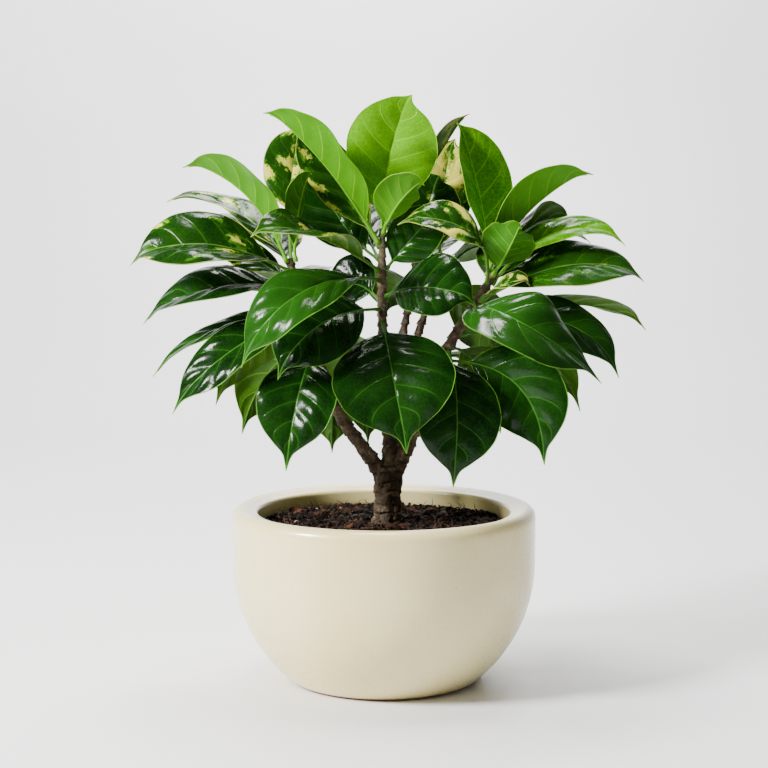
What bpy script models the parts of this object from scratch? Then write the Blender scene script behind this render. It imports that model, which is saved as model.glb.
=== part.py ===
"""Potted schefflera: a three-limbed woody plant with simple glossy leaves, in a round glazed pot.

Metres, +Z up. The origin is the centre of the pot's flat underside. The plant's front faces -Y.
"""

import math
from collections import namedtuple

import bmesh
import bpy
from mathutils import Quaternion, Vector

# Gap between pieces that touch on the real plant.
GAP = 0.0003

# Pot: the lower body is part of a sphere, cut flat for the foot, with a thick rounded lip above.
POT_HEIGHT = 0.1385
POT_RADIUS = 0.1204
POT_WIDEST_Z = 0.095
POT_WALL = 0.012
POT_FLOOR = 0.014
FOOT_BEVEL = 0.002
MOUTH_RADIUS = 0.100
LIP_OUTER_ROUND = 0.008
LIP_INNER_ROUND = 0.003
LIP_INNER_DROP = 0.003
SHOULDER_Z = 0.1105
NECK_Z = 0.1205
ARC_STEPS = 5
BODY_STEPS = 10
TURN_STEPS = 40

# Soil: a low mound, given as (share of its radius, share of its height) from the middle outwards.
SOIL_EDGE_Z = 0.1225
SOIL_MOUND_HEIGHT = 0.003
SOIL_MOUND = ((0.0, 1.0), (0.35, 0.8), (0.75, 0.3), (1.0, 0.0))

# Root crown, the buried foot of the trunk.
ROOT_X = 0.0025
ROOT_BOTTOM_Z = 0.096
ROOT_RADIUS = 0.0130
ROOT_CLEARANCE = 0.0005

# Leaves. The petiole runs on under the blade as a keel that thins from base to tip. The drip tip
# hooks down over the last part of the leaf.
PETIOLE_SHARE = 0.12
PETIOLE_RADIUS = 0.0013
PETIOLE_TOP = 0.0010
DRIP_TIP_START = 0.84
DRIP_TIP_HOOK = 0.006
MIDRIB_TOP = 0.0002
KEEL_BASE_DEPTH = 0.0011
KEEL_TIP_DEPTH = 0.0005
KEEL_HALF_WIDTH = 0.0007
TANGENT_STEP = 0.01

# Sides of a leaf's five-point section. Each starts from the blade's edge, so that the blade's top
# and underside are cut into matching triangles and never pass through each other.
SECTION_SIDES = ((0, 1), (2, 1), (2, 3), (0, 4), (3, 4))

# Blade outline: share of the blade's length, and half-width as a share of its widest.
OUTLINE = (
    (0.00, 0.05),
    (0.07, 0.30),
    (0.20, 0.68),
    (0.36, 0.93),
    (0.52, 1.00),
    (0.67, 0.91),
    (0.79, 0.68),
    (0.87, 0.38),
    (0.93, 0.11),
)

# Each limb's centre line from its foot to its shoot tip, as (x, y, z, radius).
LIMBS = {
    "trunk": (
        (ROOT_X, 0.0, ROOT_BOTTOM_Z, ROOT_RADIUS),
        (ROOT_X, 0.0, 0.1245, ROOT_RADIUS),
        (0.0028, 0.0, 0.130, 0.0119),
        (0.0030, 0.0, 0.148, 0.0108),
        (0.0030, 0.0, 0.160, 0.0116),
        (0.0030, 0.0, 0.170, 0.0098),
    ),
    "left": (
        (0.0000, 0.000, 0.158, 0.0066),
        (-0.0100, -0.002, 0.176, 0.0058),
        (-0.0235, -0.004, 0.194, 0.0052),
        (-0.0340, -0.006, 0.211, 0.0050),
        (-0.0500, -0.008, 0.250, 0.0044),
        (-0.0640, -0.009, 0.295, 0.0037),
        (-0.0735, -0.008, 0.335, 0.0028),
    ),
    "main": (
        (0.0030, 0.002, 0.160, 0.0066),
        (0.0040, 0.001, 0.190, 0.0052),
        (0.0010, 0.000, 0.235, 0.0045),
        (-0.0010, 0.000, 0.280, 0.0038),
        (-0.0016, 0.000, 0.320, 0.0033),
        (-0.0010, 0.000, 0.358, 0.0026),
    ),
    "right": (
        (0.0060, 0.000, 0.158, 0.0066),
        (0.0173, -0.002, 0.182, 0.0055),
        (0.0320, -0.004, 0.222, 0.0048),
        (0.0495, -0.005, 0.2635, 0.0044),
        (0.0675, -0.005, 0.292, 0.0037),
        (0.0865, -0.005, 0.324, 0.0028),
    ),
    "back_left": (
        (0.0030, 0.002, 0.196, 0.0040),
        (0.0080, 0.014, 0.240, 0.0034),
        (0.0165, 0.025, 0.280, 0.0030),
        (0.0225, 0.031, 0.310, 0.0026),
        (0.0260, 0.036, 0.345, 0.0021),
    ),
    "back_right": (
        (0.0100, 0.001, 0.172, 0.0044),
        (0.0170, 0.018, 0.225, 0.0036),
        (0.0290, 0.030, 0.278, 0.0031),
        (0.0400, 0.038, 0.305, 0.0027),
        (0.0500, 0.044, 0.335, 0.0021),
    ),
}
PATH_STEPS = 3

# A leaf leaves its limb at a height and ends at its drip tip. Bow is how far the middle of its
# midrib stands off the straight line between the two. Face is the way its upper side looks.
# Width is across the flattened blade. Fold is how far each half rises from flat, and twist how
# far the blade turns about its midrib from end to end, both in degrees. Petiole is the stalk's
# share of the leaf's length.
FIELDS = "kind limb height tip bow face width fold twist petiole"
Leaf = namedtuple("Leaf", FIELDS, defaults=(0, PETIOLE_SHARE))

LEAVES = (
    # Crown of the middle shoot.
    Leaf("new", "main", 0.357, (0.022, 0.008, 0.462), (-0.006, 0.004, 0), (0.1, -1, 0.1), 0.072, 10),
    Leaf("new", "main", 0.356, (0.031, -0.030, 0.391), (-0.004, -0.010, 0.002),
         (-0.1, 0.45, 0.6), 0.042, 25),
    Leaf("new", "main", 0.349, (-0.093, -0.020, 0.4465), (0.004, -0.008, 0.007),
         (0.6, 0.1, 0.8), 0.068, 30),
    Leaf("variegated", "main", 0.345, (-0.073, 0.018, 0.435), (0.001, 0.008, 0.003),
         (0.2, -0.8, 0.55), 0.046, 8),
    Leaf("variegated", "main", 0.346, (0.068, 0.034, 0.449), (-0.002, 0.007, 0),
         (-0.75, 0.25, 0.5), 0.038, 20),
    Leaf("mature", "main", 0.334, (-0.0545, 0.038, 0.412), (-0.009, 0.012, -0.006),
         (0.1, -0.9, 0.4), 0.060, 8),
    Leaf("mature", "main", 0.328, (0.047, 0.007, 0.371), (-0.004, -0.003, -0.003),
         (0.1, -0.9, 0.4), 0.042, 8),
    # Lower leaves of the middle shoot.
    Leaf("variegated", "main", 0.326, (-0.1005, -0.055, 0.352), (0, -0.012, 0.012),
         (-0.15, -0.25, 0.95), 0.054, 15, -50),
    Leaf("mature", "main", 0.318, (-0.1075, -0.065, 0.254), (-0.006, -0.034, 0.022),
         (-0.3, -0.8, 0.5), 0.050, 8),
    Leaf("mature", "main", 0.306, (0.071, -0.032, 0.298), (-0.004, -0.005, 0.008),
         (0.15, -0.75, 0.65), 0.066, 10),
    Leaf("mature", "main", 0.302, (-0.0435, 0.032, 0.299), (0, 0.006, 0.010),
         (-0.5, -0.8, 0.4), 0.050, 8),
    Leaf("mature", "main", 0.295, (-0.081, -0.052, 0.2435), (-0.004, -0.014, 0.014),
         (-0.1, -0.85, 0.5), 0.066, 8),
    Leaf("mature", "main", 0.284, (0.017, -0.072, 0.190), (-0.002, -0.012, 0.010),
         (0, -0.9, 0.4), 0.094, 8),
    Leaf("mature", "main", 0.225, (-0.013, 0.040, 0.182), (-0.004, 0.012, 0.008),
         (0, 0.9, 0.3), 0.034, 8),
    # Left shoot, from its crown down.
    Leaf("new", "left", 0.335, (-0.156, -0.012, 0.405), (0.010, -0.002, 0.012),
         (0.4, 0.1, 0.9), 0.056, 35),
    Leaf("new", "left", 0.334, (-0.056, -0.006, 0.400), (-0.004, -0.002, 0.004),
         (-0.7, 0.4, 0.5), 0.032, 20),
    Leaf("variegated", "left", 0.333, (-0.066, 0.055, 0.438), (-0.006, 0.010, 0),
         (0.1, -1, 0.1), 0.048, 5, 0, 0.35),
    Leaf("variegated", "left", 0.330, (-0.1755, 0.042, 0.379), (0.008, 0.020, 0.013),
         (0, -0.15, 1), 0.050, 15),
    Leaf("variegated", "left", 0.327, (-0.196, -0.022, 0.330), (0, -0.014, 0.015),
         (-0.1, -0.62, 0.8), 0.066, 18),
    Leaf("variegated", "left", 0.318, (-0.142, 0.012, 0.340), (0, 0.008, 0.004),
         (0, -0.5, 0.85), 0.038, 8),
    Leaf("mature", "left", 0.312, (-0.188, -0.012, 0.284), (0.002, -0.014, 0.013),
         (-0.1, -0.45, 0.9), 0.054, 15),
    Leaf("mature", "left", 0.305, (-0.1335, 0.040, 0.304), (0, 0.014, 0.008),
         (0.1, 0.4, 0.9), 0.048, 8),
    Leaf("mature", "left", 0.296, (-0.182, -0.006, 0.242), (0, -0.005, 0.010),
         (0.2, -0.25, 0.9), 0.030, 12),
    Leaf("mature", "left", 0.288, (-0.163, -0.039, 0.216), (0.002, -0.014, 0.014),
         (-0.35, -0.75, 0.55), 0.044, 10),
    Leaf("mature", "left", 0.280, (-0.134, 0.007, 0.218), (-0.002, 0.008, 0.018),
         (-0.4, 0.7, 0.55), 0.056, 8),
    Leaf("mature", "left", 0.266, (-0.117, 0.051, 0.189), (-0.004, 0.030, 0.014),
         (-0.2, 0.85, 0.4), 0.050, 8),
    Leaf("mature", "left", 0.262, (-0.0745, -0.060, 0.175), (0, -0.008, 0.012),
         (-0.15, -1, 0.2), 0.062, 10),
    Leaf("mature", "left", 0.225, (-0.042, 0.025, 0.177), (0, 0.014, 0.006), (0.1, 0.9, 0.3), 0.034, 8),
    # Back limbs, between the middle and the right shoot.
    Leaf("variegated", "back_left", 0.333, (0.046, 0.052, 0.400), (-0.002, 0.002, 0),
         (-0.1, -1, 0.2), 0.054, 8),
    Leaf("variegated", "back_right", 0.330, (0.058, 0.064, 0.4305), (-0.004, 0.008, 0),
         (0, -1, 0.2), 0.050, 8),
    Leaf("mature", "back_right", 0.304, (0.093, 0.028, 0.2475), (0.004, 0.008, 0.012),
         (0.1, 0.7, 0.65), 0.060, 8),
    # Right shoot, from its crown down.
    Leaf("new", "right", 0.3235, (0.058, 0.024, 0.441), (0.005, 0.014, 0),
         (0.6, -0.75, 0.15), 0.057, 30),
    Leaf("new", "right", 0.323, (0.105, -0.036, 0.358), (0, -0.009, -0.001),
         (-0.2, 0.8, 0), 0.046, 20),
    Leaf("new", "right", 0.321, (0.163, -0.006, 0.400), (-0.010, 0.001, 0.007),
         (-0.45, 0.1, 0.85), 0.064, 38),
    Leaf("new", "right", 0.318, (0.188, -0.010, 0.345), (-0.004, 0.004, 0.021),
         (-0.1, -0.35, 0.9), 0.044, 12),
    Leaf("variegated", "right", 0.316, (0.010, -0.037, 0.361), (0.020, -0.014, 0.014),
         (-0.1, -0.55, 0.85), 0.044, 12, 0, 0.3),
    Leaf("mature", "right", 0.312, (0.154, 0.052, 0.360), (-0.004, 0.012, 0.018),
         (0, 0.45, 0.85), 0.056, 8),
    Leaf("mature", "right", 0.310, (0.167, 0.040, 0.346), (0, 0.012, 0.014), (0, -0.2, 1), 0.036, 8),
    Leaf("variegated", "right", 0.306, (0.202, -0.018, 0.317), (0, -0.010, 0.016),
         (0, -0.5, 0.85), 0.062, 8),
    Leaf("variegated", "right", 0.304, (0.112, -0.036, 0.314), (0, -0.008, 0.004),
         (0, -0.5, 0.85), 0.024, 20),
    Leaf("mature", "right", 0.298, (0.209, 0.016, 0.277), (0.010, 0.004, 0.010),
         (0.25, 0.3, 0.9), 0.036, 12),
    Leaf("mature", "right", 0.294, (0.163, -0.072, 0.243), (-0.022, -0.042, 0.022),
         (-0.1, -0.6, 0.8), 0.066, 8),
    Leaf("mature", "right", 0.284, (0.182, -0.028, 0.243), (0.010, -0.004, 0.022),
         (0.25, -0.6, 0.7), 0.052, 8),
    Leaf("mature", "right", 0.278, (0.156, 0.006, 0.213), (0.010, 0.012, 0.018),
         (-0.3, 0.5, 0.8), 0.032, 20),
    Leaf("mature", "right", 0.266, (0.0935, 0.016, 0.194), (0.006, 0.014, 0.012),
         (0.1, 0.85, 0.4), 0.046, 8),
    Leaf("mature", "right", 0.262, (0.053, -0.052, 0.161), (0.004, -0.012, 0.008),
         (0.1, -1, 0.15), 0.067, 10),
    Leaf("mature", "right", 0.257, (0.124, -0.036, 0.176), (0.016, -0.002, 0.018),
         (-0.3, -0.85, 0.35), 0.064, 12),
    # Back of the plant.
    Leaf("mature", "main", 0.331, (-0.035, 0.120, 0.375), (-0.004, 0.006, 0.014),
         (0, -0.2, 1), 0.066, 12),
    Leaf("mature", "back_left", 0.322, (0.050, 0.135, 0.335), (0, 0.006, 0.012),
         (0, 0.2, 1), 0.070, 12),
    Leaf("variegated", "left", 0.324, (-0.125, 0.095, 0.355), (0, 0.010, 0.014),
         (0, 0.2, 1), 0.066, 12),
    Leaf("mature", "left", 0.308, (-0.085, 0.120, 0.290), (0, 0.010, 0.020), (0, 0.4, 0.9), 0.070, 12),
    Leaf("mature", "left", 0.275, (-0.120, 0.095, 0.235), (0, 0.012, 0.020),
         (-0.2, 0.5, 0.8), 0.064, 12),
    Leaf("variegated", "right", 0.308, (0.140, 0.110, 0.325), (0, 0.014, 0.014),
         (0.2, 0.2, 1), 0.066, 12),
    Leaf("mature", "back_right", 0.318, (0.105, 0.125, 0.325), (0, 0.010, 0.018),
         (0, 0.7, 0.7), 0.068, 12),
    Leaf("mature", "back_right", 0.256, (0.140, 0.108, 0.215), (0, 0.020, 0.010),
         (0.3, 0.4, 0.8), 0.060, 12),
    Leaf("mature", "back_left", 0.316, (0.000, 0.088, 0.283), (0, 0.008, 0.010),
         (0, 0.75, 0.65), 0.062, 12),
    Leaf("mature", "main", 0.262, (-0.040, 0.110, 0.205), (0, 0.012, 0.022), (0, 0.6, 0.8), 0.066, 12),
)

# Edges sharper than this many degrees are shaded as edges.
SHARP_ANGLE = 40

# Points that close together are one point.
MERGE_DISTANCE = 0.00001

# Colour, roughness and metallic value of each material.
FINISHES = {
    "cream_glaze": ((0.76, 0.72, 0.58), 0.35, 0.0),
    "potting_soil": ((0.030, 0.018, 0.012), 0.95, 0.0),
    "grey_brown_bark": ((0.105, 0.065, 0.040), 0.85, 0.0),
    "new_leaf_green": ((0.155, 0.420, 0.010), 0.35, 0.0),
    "mature_leaf_green": ((0.008, 0.075, 0.010), 0.25, 0.0),
    "variegated_leaf_green": ((0.060, 0.140, 0.030), 0.30, 0.0),
}


def clear_scene():
    for obj in list(bpy.data.objects):
        bpy.data.objects.remove(obj, do_unlink=True)


def new_collection(name):
    collection = bpy.data.collections.new(name)
    bpy.context.scene.collection.children.link(collection)
    return collection


def make_material(name):
    colour, roughness, metallic = FINISHES[name]
    material = bpy.data.materials.new(name)
    material.use_nodes = True
    shader = material.node_tree.nodes["Principled BSDF"]
    shader.inputs["Base Color"].default_value = (*colour, 1.0)
    shader.inputs["Roughness"].default_value = roughness
    shader.inputs["Metallic"].default_value = metallic
    return material


def add_object(name, mesh, collection, material=None):
    obj = bpy.data.objects.new(name, mesh)
    collection.objects.link(obj)
    if material is not None:
        mesh.materials.append(material)
        mesh.shade_smooth()
        mesh.set_sharp_from_angle(angle=math.radians(SHARP_ANGLE))
    return obj


def make_cutter(obj):
    obj.hide_render = True
    obj.display_type = "WIRE"


def arc(centre, radius, start, end, steps=ARC_STEPS):
    """Points (r, z) along an arc whose angles are in degrees from +r towards +z."""
    centre_r, centre_z = centre
    angles = (math.radians(start + (end - start) * i / steps) for i in range(steps + 1))
    return [(centre_r + radius * math.cos(a), centre_z + radius * math.sin(a)) for a in angles]


def sphere_angle(height, radius):
    """The angle, in degrees, at which a sphere about the pot's widest level meets a height."""
    return math.degrees(math.asin((height - POT_WIDEST_Z) / radius))


def turned(name, profile, collection, material):
    """A solid of revolution about Z from a profile that ends by running down its outer side."""
    mesh = bpy.data.meshes.new(name)
    edges = [(i, i + 1) for i in range(len(profile) - 1)]
    mesh.from_pydata([(r, 0.0, z) for r, z in profile], edges, [])
    obj = add_object(name, mesh, collection, material)
    screw = obj.modifiers.new("turn", "SCREW")
    screw.axis = "Z"
    screw.steps = TURN_STEPS
    screw.render_steps = TURN_STEPS
    screw.use_merge_vertices = True
    screw.merge_threshold = MERGE_DISTANCE
    return obj


def cavity_profile(inset):
    """The pot's inside from its floor's centre up to the neck, shrunk by an inset."""
    radius = POT_RADIUS - POT_WALL - inset
    floor = POT_FLOOR + inset
    start = sphere_angle(floor, radius)
    end = sphere_angle(SHOULDER_Z, radius)
    wall = arc((0.0, POT_WIDEST_Z), radius, start, end, BODY_STEPS)
    return [(0.0, floor), *wall, (MOUTH_RADIUS - inset, NECK_Z)]


def make_pot(collection):
    inner_z = POT_HEIGHT - LIP_INNER_DROP - LIP_INNER_ROUND
    inner_round = (MOUTH_RADIUS + LIP_INNER_ROUND, inner_z)
    outer_round = (POT_RADIUS - LIP_OUTER_ROUND, POT_HEIGHT - LIP_OUTER_ROUND)
    foot_angle = sphere_angle(FOOT_BEVEL, POT_RADIUS)
    profile = [
        *cavity_profile(0.0),
        *arc(inner_round, LIP_INNER_ROUND, 180, 90),
        *arc(outer_round, LIP_OUTER_ROUND, 90, 0),
        *arc((0.0, POT_WIDEST_Z), POT_RADIUS, 0, foot_angle, BODY_STEPS),
        (foot_radius() - FOOT_BEVEL, 0.0),
        (0.0, 0.0),
    ]
    return turned("pot", profile, collection, make_material("cream_glaze"))


def foot_radius():
    return math.sqrt(POT_RADIUS**2 - POT_WIDEST_Z**2)


def make_soil(collection, cutters):
    """The soil fills the cavity up to its own level, and the root crown's hole is cut from it."""
    edge_r = MOUTH_RADIUS - GAP
    top = [(edge_r * r, SOIL_EDGE_Z + SOIL_MOUND_HEIGHT * z) for r, z in SOIL_MOUND]
    sides = cavity_profile(GAP)
    soil = turned("soil", top + sides[::-1], collection, make_material("potting_soil"))

    bottom = ROOT_BOTTOM_Z - GAP
    depth = POT_HEIGHT - bottom
    radius = ROOT_RADIUS + ROOT_CLEARANCE
    mesh = bpy.data.meshes.new("root_hole")
    shape = bmesh.new()
    bmesh.ops.create_cone(
        shape, cap_ends=True, segments=TURN_STEPS, radius1=radius, radius2=radius, depth=depth
    )
    shape.to_mesh(mesh)
    shape.free()
    hole = add_object("root_hole", mesh, cutters)
    hole.location = (ROOT_X, 0.0, bottom + depth / 2)
    make_cutter(hole)
    cut = soil.modifiers.new("root_hole", "BOOLEAN")
    cut.operation = "DIFFERENCE"
    cut.object = hole
    return soil


def between(a, b, c, d, t):
    """The Catmull-Rom value a share t of the way from b to c, with a before them and d after."""
    square = 2 * a - 5 * b + 4 * c - d
    cube = 3 * b - a - 3 * c + d
    return (2 * b + (c - a) * t + square * t**2 + cube * t**3) / 2


def smooth_path(points):
    """A Catmull-Rom line through points of any dimension, PATH_STEPS spans to each stretch."""
    padded = [points[0], *points, points[-1]]
    line = []
    for stretch in zip(padded, padded[1:], padded[2:], padded[3:]):
        for step in range(PATH_STEPS):
            t = step / PATH_STEPS
            line.append(tuple(between(*values, t) for values in zip(*stretch)))
    return [*line, points[-1]]


def limb_mesh(name, points):
    """A round tapering limb with closed ends, made as a curve and turned into a mesh."""
    curve = bpy.data.curves.new(name, "CURVE")
    curve.dimensions = "3D"
    curve.bevel_depth = 1.0
    curve.bevel_resolution = 3
    curve.use_fill_caps = True
    line = smooth_path(points)
    spline = curve.splines.new("POLY")
    spline.points.add(len(line) - 1)
    for point, (x, y, z, radius) in zip(spline.points, line):
        point.co = (x, y, z, 1.0)
        point.radius = radius
    guide = bpy.data.objects.new(name, curve)
    bpy.context.scene.collection.objects.link(guide)
    graph = bpy.context.evaluated_depsgraph_get()
    mesh = bpy.data.meshes.new_from_object(guide.evaluated_get(graph))
    bpy.data.objects.remove(guide, do_unlink=True)
    shape = bmesh.new()
    shape.from_mesh(mesh)
    bmesh.ops.remove_doubles(shape, verts=shape.verts, dist=MERGE_DISTANCE)
    bmesh.ops.recalc_face_normals(shape, faces=shape.faces)
    shape.to_mesh(mesh)
    shape.free()
    return mesh


def make_woody_stem(collection, cutters):
    material = make_material("grey_brown_bark")
    stem = add_object("woody_stem", limb_mesh("trunk", LIMBS["trunk"]), collection, material)
    for name, points in LIMBS.items():
        if name == "trunk":
            continue
        limb = add_object(f"{name}_limb", limb_mesh(name, points), cutters)
        make_cutter(limb)
        join = stem.modifiers.new(name, "BOOLEAN")
        join.operation = "UNION"
        join.object = limb
    return stem


def limb_at(name, height):
    """Centre, direction and radius of a limb at a height."""
    line = smooth_path(LIMBS[name])
    for low, high in zip(line, line[1:]):
        if low[2] <= height <= high[2]:
            share = (height - low[2]) / (high[2] - low[2])
            x, y, z, radius = (a + (b - a) * share for a, b in zip(low, high))
            return Vector((x, y, z)), (Vector(high[:3]) - Vector(low[:3])).normalized(), radius
    raise ValueError(f"{name} has no point at {height}")


def leaf_midrib(leaf):
    """The leaf's midrib as a function of the share of its length, clear of the limb it grows on."""
    centre, axis, limb_radius = limb_at(leaf.limb, leaf.height)
    end = Vector(leaf.tip) + Vector((0.0, 0.0, DRIP_TIP_HOOK))
    lean = Vector(leaf.bow) * 2
    outward = (centre + end) / 2 + lean - centre
    outward = (outward - axis * outward.dot(axis)).normalized()
    start = centre + outward * (limb_radius + PETIOLE_RADIUS + GAP)
    control = (start + end) / 2 + lean

    def midrib(share):
        point = start * (1 - share) ** 2 + control * 2 * share * (1 - share) + end * share**2
        hook = max(0.0, (share - DRIP_TIP_START) / (1 - DRIP_TIP_START))
        return point - Vector((0.0, 0.0, DRIP_TIP_HOOK * hook**2))

    return midrib


def leaf_section(leaf, midrib, share, half_width):
    """Five points round the leaf: left edge, top of the midrib, right edge and the keel's two."""
    ahead = midrib(share + TANGENT_STEP / 2)
    along = (ahead - midrib(share - TANGENT_STEP / 2)).normalized()
    up = Vector(leaf.face)
    up = (up - along * up.dot(along)).normalized()
    up = Quaternion(along, math.radians(leaf.twist) * (share - 0.5)) @ up
    side = along.cross(up)
    centre = midrib(share)
    fold = math.radians(leaf.fold)
    if half_width <= PETIOLE_RADIUS:
        fold = 0.0
        half_width = PETIOLE_RADIUS
        top = PETIOLE_TOP
        keel = PETIOLE_RADIUS
    else:
        top = MIDRIB_TOP
        keel = KEEL_BASE_DEPTH + (KEEL_TIP_DEPTH - KEEL_BASE_DEPTH) * share
    spread = side * half_width * math.cos(fold)
    rise = up * half_width * math.sin(fold)
    return (
        centre - spread + rise,
        centre + up * top,
        centre + spread + rise,
        centre - up * keel + side * KEEL_HALF_WIDTH,
        centre - up * keel - side * KEEL_HALF_WIDTH,
    )


def leaf_mesh(name, leaf):
    """A leaf lofted from a round petiole through its folded blade to a pointed drip tip."""
    midrib = leaf_midrib(leaf)
    stations = [(0.0, 0.0)]
    for share, relative in OUTLINE:
        along = leaf.petiole + (1 - leaf.petiole) * share
        stations.append((along, relative * leaf.width / 2))
    shape = bmesh.new()
    rings = [
        [shape.verts.new(point) for point in leaf_section(leaf, midrib, share, half_width)]
        for share, half_width in stations
    ]
    tip = shape.verts.new(midrib(1.0))
    shape.faces.new(rings[0])
    for ring, after in zip(rings, rings[1:]):
        for edge, middle in SECTION_SIDES:
            shape.faces.new((ring[edge], ring[middle], after[middle]))
            shape.faces.new((ring[edge], after[middle], after[edge]))
    last = rings[-1]
    for i in range(len(last)):
        shape.faces.new((last[i], last[(i + 1) % len(last)], tip))
    bmesh.ops.recalc_face_normals(shape, faces=shape.faces)
    mesh = bpy.data.meshes.new(name)
    shape.to_mesh(mesh)
    shape.free()
    return mesh


def make_leaves(collection):
    kinds = ("new", "mature", "variegated")
    materials = {kind: make_material(f"{kind}_leaf_green") for kind in kinds}
    counts = dict.fromkeys(kinds, 0)
    for leaf in LEAVES:
        counts[leaf.kind] += 1
        name = f"{leaf.kind}_leaf_{counts[leaf.kind]:02d}"
        add_object(name, leaf_mesh(name, leaf), collection, materials[leaf.kind])


def main():
    clear_scene()
    parts = new_collection("potted_schefflera")
    cutters = new_collection("cutters")
    make_pot(parts)
    make_soil(parts, cutters)
    make_woody_stem(parts, cutters)
    make_leaves(parts)


main()
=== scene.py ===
"""Potted schefflera: the finished plant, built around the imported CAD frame.

Metres, +Z up. The plant's front faces -Y. Each piece is worked out from the CAD node it replaces.
"""

import itertools
import math
import random

import bmesh
import bpy
import numpy as np
from mathutils import Euler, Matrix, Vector, noise


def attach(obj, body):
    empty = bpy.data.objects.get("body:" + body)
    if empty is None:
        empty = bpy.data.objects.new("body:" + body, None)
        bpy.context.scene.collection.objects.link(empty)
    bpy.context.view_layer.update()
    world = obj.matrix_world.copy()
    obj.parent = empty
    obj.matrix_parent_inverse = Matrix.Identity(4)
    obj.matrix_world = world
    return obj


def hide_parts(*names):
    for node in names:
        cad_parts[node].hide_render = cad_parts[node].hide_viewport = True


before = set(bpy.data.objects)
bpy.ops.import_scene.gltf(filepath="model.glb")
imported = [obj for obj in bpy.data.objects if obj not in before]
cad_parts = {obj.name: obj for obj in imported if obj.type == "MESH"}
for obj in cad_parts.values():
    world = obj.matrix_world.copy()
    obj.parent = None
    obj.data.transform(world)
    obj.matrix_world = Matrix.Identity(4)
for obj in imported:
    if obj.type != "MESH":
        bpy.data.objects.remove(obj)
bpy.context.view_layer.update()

MM = 0.001

# Leaf grid: stations along the blade, the last part of it in finer steps, and columns from the
# midrib to each edge.
BLADE_STATIONS = 80
TIP_STATIONS = 14
TIP_START = 0.86
HALF_COLUMNS = 13
CAD_RINGS = 10

# Leaf relief, in metres unless it says share.
BLADE_THICKNESS = 0.0006
EDGE_ROUND = 0.00025
LEAST_HALF_WIDTH = 0.00025
FOLD_ROUND_SHARE = 0.16
GROOVE_DEPTH = 0.0006
GROOVE_WIDTH = 0.0011
CROWN_SHARE = 0.06
CURL_SHARE = 0.07
WAVE_SHARE = 0.065
DENT_SHARE = 0.045
UNDERSIDE_VEIN = 0.00030

# Side veins: pairs to a blade, and how far forward each runs on its way to the edge, in shares of
# the blade's length.
VEIN_PAIRS = 6.0
VEIN_LEAN = 0.15
VEIN_ARCH = 0.08
VEIN_STAGGER = 0.45

# Petiole: its foot sinks into the limb, and it runs on under the blade as the midrib.
PETIOLE_SIDES = 10
PETIOLE_SINK = 0.0030
PETIOLE_FOOT_RADIUS = 0.0019
PETIOLE_RADIUS = 0.0013
MIDRIB_END_RADIUS = 0.00035
MIDRIB_END_SHARE = 0.95

# Height of the swelling between side veins, for each kind of leaf.
QUILT = {"new": 0.00100, "mature": 0.00190, "variegated": 0.00135}

# How fresh a leaf's green is, from 0 for the darkest to 1 for the lightest of its kind.
TONE = {"new": 0.55, "mature": 0.25, "variegated": 0.25}
LEAF_TONE = {
    "new_leaf_01": 0.66,
    "new_leaf_02": 0.62,
    "new_leaf_03": 0.50,
    "new_leaf_04": 0.50,
    "new_leaf_05": 0.10,
    "new_leaf_06": 0.30,
    "new_leaf_07": 0.10,
    "new_leaf_08": 0.60,
    "new_leaf_09": 0.25,
    "mature_leaf_03": 0.58,
    "mature_leaf_21": 0.45,
    "mature_leaf_22": 0.40,
    "mature_leaf_06": 0.05,
    "mature_leaf_05": 0.00,
    "mature_leaf_25": 0.10,
    "mature_leaf_26": 0.20,
}

# Share of cream on each variegated leaf.
CREAM = 0.20
LEAF_CREAM = {
    "variegated_leaf_01": 0.30,
    "variegated_leaf_02": 0.55,
    "variegated_leaf_03": 0.22,
    "variegated_leaf_04": 0.48,
    "variegated_leaf_05": 0.22,
    "variegated_leaf_06": 0.05,
    "variegated_leaf_07": 0.18,
    "variegated_leaf_08": 0.02,
    "variegated_leaf_09": 0.50,
    "variegated_leaf_10": 0.34,
    "variegated_leaf_11": 0.10,
    "variegated_leaf_12": 0.45,
}


def welded(name):
    """A CAD node's distinct points, and its triangles as rows of indices."""
    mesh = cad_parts[name].data
    points = np.empty(len(mesh.vertices) * 3, np.float32)
    mesh.vertices.foreach_get("co", points)
    corners = np.empty(len(mesh.loops), np.int32)
    mesh.loops.foreach_get("vertex_index", corners)
    distinct, index = np.unique(points.reshape(-1, 3), axis=0, return_inverse=True)
    return distinct.astype(float), index.reshape(-1)[corners].reshape(-1, 3)


def neighbours(points, triangles):
    near = [set() for _ in points]
    for triangle in triangles:
        for a, b in itertools.permutations(triangle, 2):
            near[a].add(b)
    return near


def levels_from(near, start):
    """The points one, two and more edges away from a start."""
    levels = [{start}]
    seen = {start}
    while levels[-1]:
        step = set().union(*(near[i] for i in levels[-1])) - seen
        seen |= step
        levels.append(step)
    return levels[:-1]


STEM_POINTS = welded("woody_stem")[0]


def unit(vectors):
    lengths = np.linalg.norm(vectors, axis=-1, keepdims=True)
    return vectors / np.maximum(lengths, 1e-12)


def first_ring(points, near, level, ahead):
    """A blade ring as left edge, top of the midrib, right edge, right and left of the keel."""
    ring = [min(level)]
    while len(ring) < len(level):
        ring.append(min((near[ring[-1]] & level) - set(ring)))
    sides = [(ring[i], ring[(i + 1) % len(ring)]) for i in range(len(ring))]
    keel = min(sides, key=lambda side: np.linalg.norm(points[side[0]] - points[side[1]]))
    top = next(i for i in ring if not near[i] & set(keel) & level)
    edges = sorted(near[top] & level)
    up = points[top] - points[list(keel)].mean(0)
    side = np.cross(ahead, up)
    left, right = sorted(edges, key=lambda i: side @ points[i])
    keel_right = next(i for i in keel if i in near[right])
    keel_left = next(i for i in keel if i != keel_right)
    return [left, top, right, keel_right, keel_left]


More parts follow.
